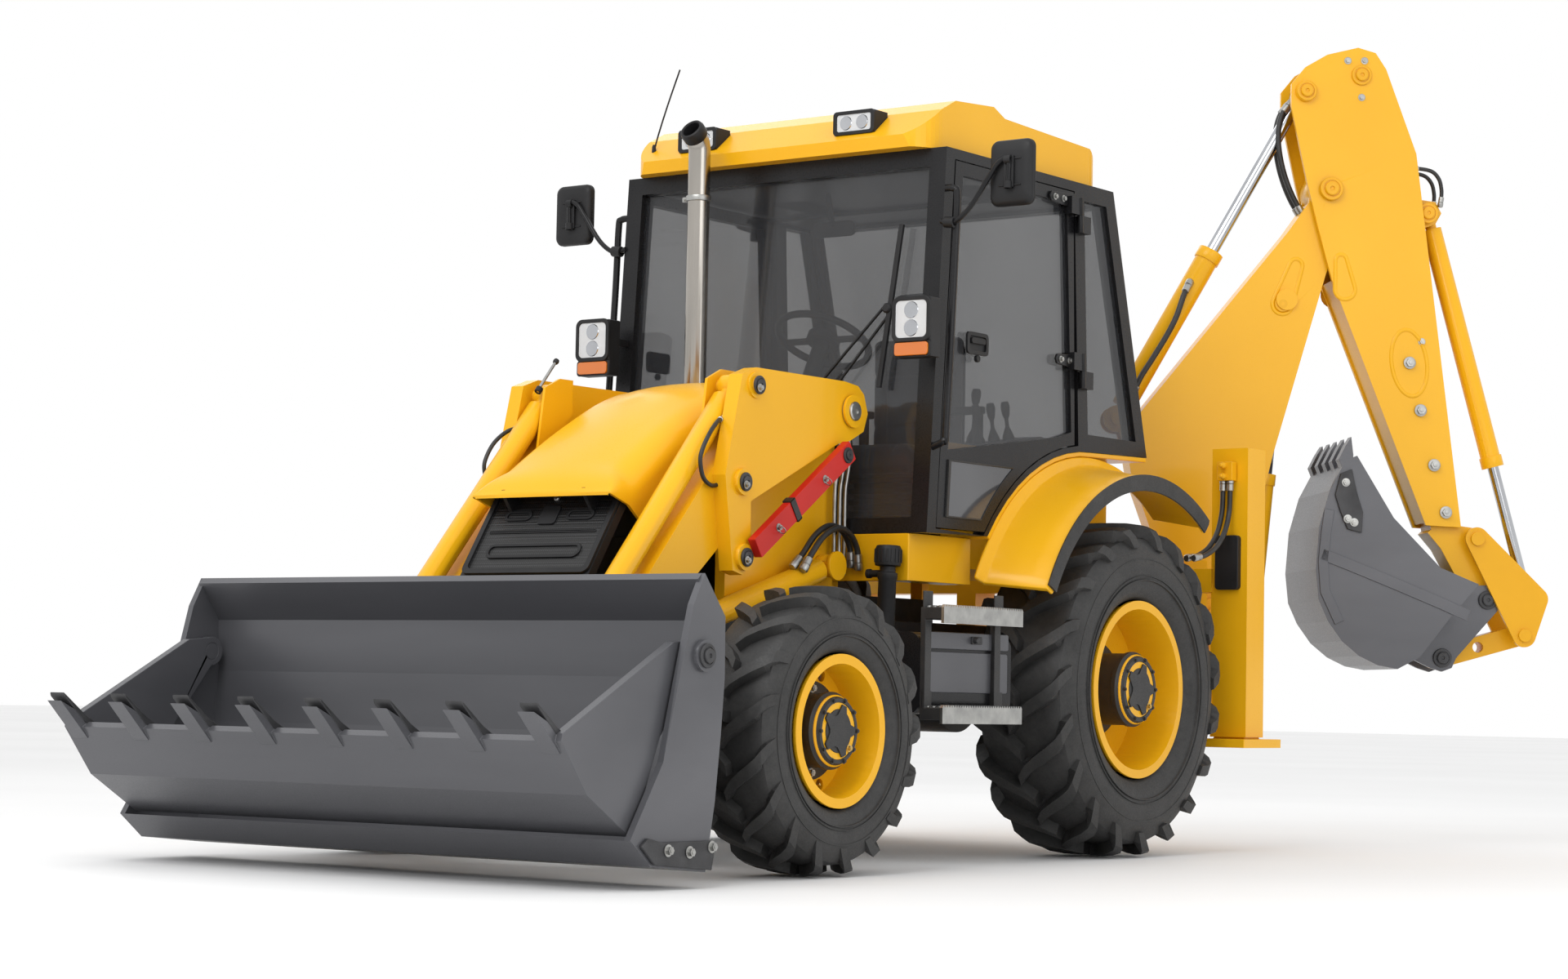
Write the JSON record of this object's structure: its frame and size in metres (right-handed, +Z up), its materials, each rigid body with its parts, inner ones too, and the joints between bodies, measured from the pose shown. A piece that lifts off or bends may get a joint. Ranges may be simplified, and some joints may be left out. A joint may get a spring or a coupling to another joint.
{
  "type": "backhoe loader",
  "caption": "Wheeled backhoe loader with a clam loader bucket in front, a glazed cab, and a side-shift digging arm with a sliding dipper at the back.",
  "frame": {"origin": "on the ground under the middle of the machine, midway between the axles on the centre plane", "axes": "+X forward to the loader bucket, +Y to the machine's left, +Z up"},
  "size_m": [6.2977, 2.959, 3.5745],
  "materials": {
    "yellow_paint": "gloss",
    "black_paint": "satin",
    "grey_paint": "satin",
    "chrome": "polished",
    "tyre": "matte",
    "glass": "clear",
    "red_paint": "gloss",
    "fabric": "matte",
    "lamp": "gloss"
  },
  "bodies": {
    "machine": {"chassis_frame": "black_paint", "loader_towers": "yellow_paint", "rear_frame": "black_paint", "engine": "grey_paint", "front_axle": "black_paint", "rear_axle": "black_paint", "grille": "black_paint", "cab_frame": "black_paint", "cab_roof": "yellow_paint", "cab_glass": "glass", "cab_base": "yellow_paint", "fenders": "yellow_paint", "seat": "fabric", "steering_console": "black_paint", "tanks": "black_paint", "steps": "black_paint", "exhaust_stack": "chrome", "mirrors": "black_paint", "head_lamps": "lamp"},
    "bonnet": {"bonnet": "yellow_paint"},
    "knuckle_left": {"knuckle_left": "black_paint"},
    "knuckle_right": {"knuckle_right": "black_paint"},
    "wheel_front_left": {"tyre_front_left": "tyre", "wheel_front_left": "yellow_paint"},
    "wheel_front_right": {"tyre_front_right": "tyre", "wheel_front_right": "yellow_paint"},
    "wheel_rear_left": {"tyre_rear_left": "tyre", "wheel_rear_left": "yellow_paint"},
    "wheel_rear_right": {"tyre_rear_right": "tyre", "wheel_rear_right": "yellow_paint"},
    "arms": {"loader_arms": "yellow_paint", "safety_strut": "red_paint"},
    "lift_barrels": {"lift_barrels": "yellow_paint"},
    "lift_rods": {"lift_rods": "chrome"},
    "tilt_barrels": {"tilt_barrels": "yellow_paint"},
    "tilt_rods": {"tilt_rods": "chrome"},
    "loader_bucket": {"loader_bucket": "grey_paint"},
    "clam_jaw": {"clam_jaw": "grey_paint"},
    "door_left": {"door_left": "black_paint", "door_left_glass": "glass"},
    "door_right": {"door_right": "black_paint", "door_right_glass": "glass"},
    "carriage": {"carriage": "black_paint"},
    "kingpost": {"kingpost": "black_paint"},
    "boom": {"boom": "yellow_paint"},
    "boom_ram_barrel": {"boom_ram_barrel": "yellow_paint"},
    "boom_ram_rod": {"boom_ram_rod": "chrome"},
    "dipper_ram_barrel": {"dipper_ram_barrel": "yellow_paint"},
    "dipper_ram_rod": {"dipper_ram_rod": "chrome"},
    "dipper": {"dipper": "yellow_paint"},
    "dipper_slide": {"dipper_slide": "yellow_paint"},
    "bucket_ram_barrel": {"bucket_ram_barrel": "yellow_paint"},
    "bucket_ram_rod": {"bucket_ram_rod": "chrome"},
    "tipping_link": {"tipping_link": "yellow_paint"},
    "bucket_link": {"bucket_link": "yellow_paint"},
    "dig_bucket": {"dig_bucket": "grey_paint"},
    "leg_left": {"stabiliser_leg_left": "black_paint"},
    "leg_right": {"stabiliser_leg_right": "black_paint"}
  },
  "joints": [
    {"name": "steer_left", "type": "hinge", "parent": "machine", "child": "knuckle_left", "pos_m": [1.085, 0.84, 0.5], "axis": [0, 0, 1], "range_deg": [-38, 38]},
    {"name": "steer_right", "type": "hinge", "parent": "machine", "child": "knuckle_right", "pos_m": [1.085, -0.84, 0.5], "axis": [0, 0, 1], "range_deg": [-38, 38]},
    {"name": "spin_front_left", "type": "hinge", "parent": "knuckle_left", "child": "wheel_front_left", "pos_m": [1.085, 0.955, 0.5], "axis": [0, 1, 0], "continuous": true},
    {"name": "spin_rear_left", "type": "hinge", "parent": "machine", "child": "wheel_rear_left", "pos_m": [-1.085, 0.83, 0.67], "axis": [0, 1, 0], "continuous": true},
    {"name": "spin_front_right", "type": "hinge", "parent": "knuckle_right", "child": "wheel_front_right", "pos_m": [1.085, -0.955, 0.5], "axis": [0, 1, 0], "continuous": true},
    {"name": "spin_rear_right", "type": "hinge", "parent": "machine", "child": "wheel_rear_right", "pos_m": [-1.085, -0.83, 0.67], "axis": [0, 1, 0], "continuous": true},
    {"name": "bonnet_open", "type": "hinge", "parent": "machine", "child": "bonnet", "pos_m": [1.392, 0, 1.33], "axis": [0, 1, 0], "range_deg": [0, 60]},
    {"name": "lift", "type": "hinge", "parent": "machine", "child": "arms", "pos_m": [0.285, 0, 1.69], "axis": [0, -1, 0], "range_deg": [-3, 90]},
    {"name": "lift_ram_swing", "type": "hinge", "parent": "machine", "child": "lift_barrels", "pos_m": [0.265, 0, 1.11], "axis": [0, -1, 0], "range_deg": [-3.68, 81.33]},
    {"name": "lift_ram_stroke", "type": "slide", "parent": "lift_barrels", "child": "lift_rods", "axis": [0.9584, 0, -0.2853], "range_m": [-0.047, 0.841]},
    {"name": "tilt", "type": "hinge", "parent": "arms", "child": "loader_bucket", "pos_m": [1.785, 0, 0.27], "axis": [0, 1, 0], "range_deg": [-8, 120]},
    {"name": "tilt_ram_swing", "type": "hinge", "parent": "arms", "child": "tilt_barrels", "pos_m": [0.885, 0, 1.735], "axis": [0, -1, 0], "range_deg": [-1.18, 3.72]},
    {"name": "tilt_ram_stroke", "type": "slide", "parent": "tilt_barrels", "child": "tilt_rods", "axis": [0.6569, 0, -0.7539], "range_m": [-0.077, 0.88]},
    {"name": "clam", "type": "hinge", "parent": "loader_bucket", "child": "clam_jaw", "pos_m": [1.95, 0, 0.74], "axis": [0, -1, 0], "range_deg": [0, 75]},
    {"name": "door_left_open", "type": "hinge", "parent": "machine", "child": "door_left", "pos_m": [-0.95819, 0.805, 2.2], "axis": [0.0541, 0, 0.9985], "range_deg": [0, 100]},
    {"name": "door_right_open", "type": "hinge", "parent": "machine", "child": "door_right", "pos_m": [-0.95819, -0.805, 2.2], "axis": [-0.0541, 0, -0.9985], "range_deg": [0, 100]},
    {"name": "leg_left_down", "type": "slide", "parent": "machine", "child": "leg_left", "axis": [0, 0, -1], "range_m": [0, 0.55]},
    {"name": "leg_right_down", "type": "slide", "parent": "machine", "child": "leg_right", "axis": [0, 0, -1], "range_m": [0, 0.55]},
    {"name": "side_shift", "type": "slide", "parent": "machine", "child": "carriage", "axis": [0, 1, 0], "range_m": [-1.03, 0.13]},
    {"name": "slew", "type": "hinge", "parent": "carriage", "child": "kingpost", "pos_m": [-2.445, 0.45, 0.8], "axis": [0, 0, 1], "range_deg": [-40, 140]},
    {"name": "boom_lower", "type": "hinge", "parent": "kingpost", "child": "boom", "pos_m": [-2.52856, 0.54959, 1.01], "axis": [-0.766, -0.6428, 0], "range_deg": [-15, 115]},
    {"name": "boom_ram_swing", "type": "hinge", "parent": "kingpost", "child": "boom_ram_barrel", "pos_m": [-2.62819, 0.66832, 0.735], "axis": [0.766, 0.6428, 0], "range_deg": [-113.01, 15.61]},
    {"name": "boom_ram_stroke", "type": "slide", "parent": "boom_ram_barrel", "child": "boom_ram_rod", "axis": [-0.0593, 0.0707, 0.9957], "range_m": [-0.562, 0.091]},
    {"name": "dipper_out", "type": "hinge", "parent": "boom", "child": "dipper", "pos_m": [-2.85124, 0.93414, 2.929], "axis": [0.766, 0.6428, 0], "range_deg": [-3, 105]},
    {"name": "dipper_ram_swing", "type": "hinge", "parent": "boom", "child": "dipper_ram_barrel", "pos_m": [-2.24574, 0.21253, 1.88], "axis": [0.766, 0.6428, 0], "range_deg": [-1.02, 1.84]},
    {"name": "dipper_ram_stroke", "type": "slide", "parent": "dipper_ram_barrel", "child": "dipper_ram_rod", "axis": [-0.3118, 0.3716, 0.8745], "range_m": [-0.762, 0.041]},
    {"name": "extend", "type": "slide", "parent": "dipper", "child": "dipper_slide", "axis": [-0.1337, 0.1594, -0.9781], "range_m": [0, 1.2]},
    {"name": "bucket_open", "type": "hinge", "parent": "dipper_slide", "child": "dig_bucket", "pos_m": [-3.31469, 1.48646, 1.103], "axis": [0.766, 0.6428, 0], "range_deg": [-5, 160]},
    {"name": "tipping_link_swing", "type": "hinge", "parent": "dipper_slide", "child": "tipping_link", "pos_m": [-3.27998, 1.44509, 1.374], "axis": [0.766, 0.6428, 0], "range_deg": [-3.92, 94.6]},
    {"name": "bucket_link_swing", "type": "hinge", "parent": "tipping_link", "child": "bucket_link", "pos_m": [-3.41818, 1.60979, 0.948], "axis": [0.766, 0.6428, 0], "range_deg": [-27.72, 1.83]},
    {"name": "bucket_ram_swing", "type": "hinge", "parent": "dipper_slide", "child": "bucket_ram_barrel", "pos_m": [-3.15464, 1.29571, 2.846], "axis": [0.766, 0.6428, 0], "range_deg": [-1.22, 8.04]},
    {"name": "bucket_ram_stroke", "type": "slide", "parent": "bucket_ram_barrel", "child": "bucket_ram_rod", "axis": [-0.1664, 0.1983, -0.9659], "range_m": [-0.525, 0.036]}
  ],
  "couplings": [
    {"joint": "steer_right", "follows": "steer_left", "ratio": 1},
    {"joint": "lift_ram_swing", "follows": "lift", "ratio": 0.8925},
    {"joint": "lift_ram_stroke", "follows": "lift", "m_per_rad": 0.52235},
    {"joint": "tilt_ram_swing", "follows": "tilt", "ratio": 0.0227},
    {"joint": "tilt_ram_stroke", "follows": "tilt", "m_per_rad": 0.4105},
    {"joint": "boom_ram_swing", "follows": "boom_lower", "ratio": -0.974},
    {"joint": "boom_ram_stroke", "follows": "boom_lower", "m_per_rad": -0.26992},
    {"joint": "dipper_ram_swing", "follows": "dipper_out", "ratio": 0.008},
    {"joint": "dipper_ram_stroke", "follows": "dipper_out", "m_per_rad": -0.40497},
    {"joint": "tipping_link_swing", "follows": "bucket_open", "ratio": 0.585},
    {"joint": "bucket_link_swing", "follows": "bucket_open", "ratio": -0.167},
    {"joint": "bucket_ram_swing", "follows": "bucket_open", "ratio": 0.044},
    {"joint": "bucket_ram_stroke", "follows": "bucket_open", "m_per_rad": -0.181}
  ]
}
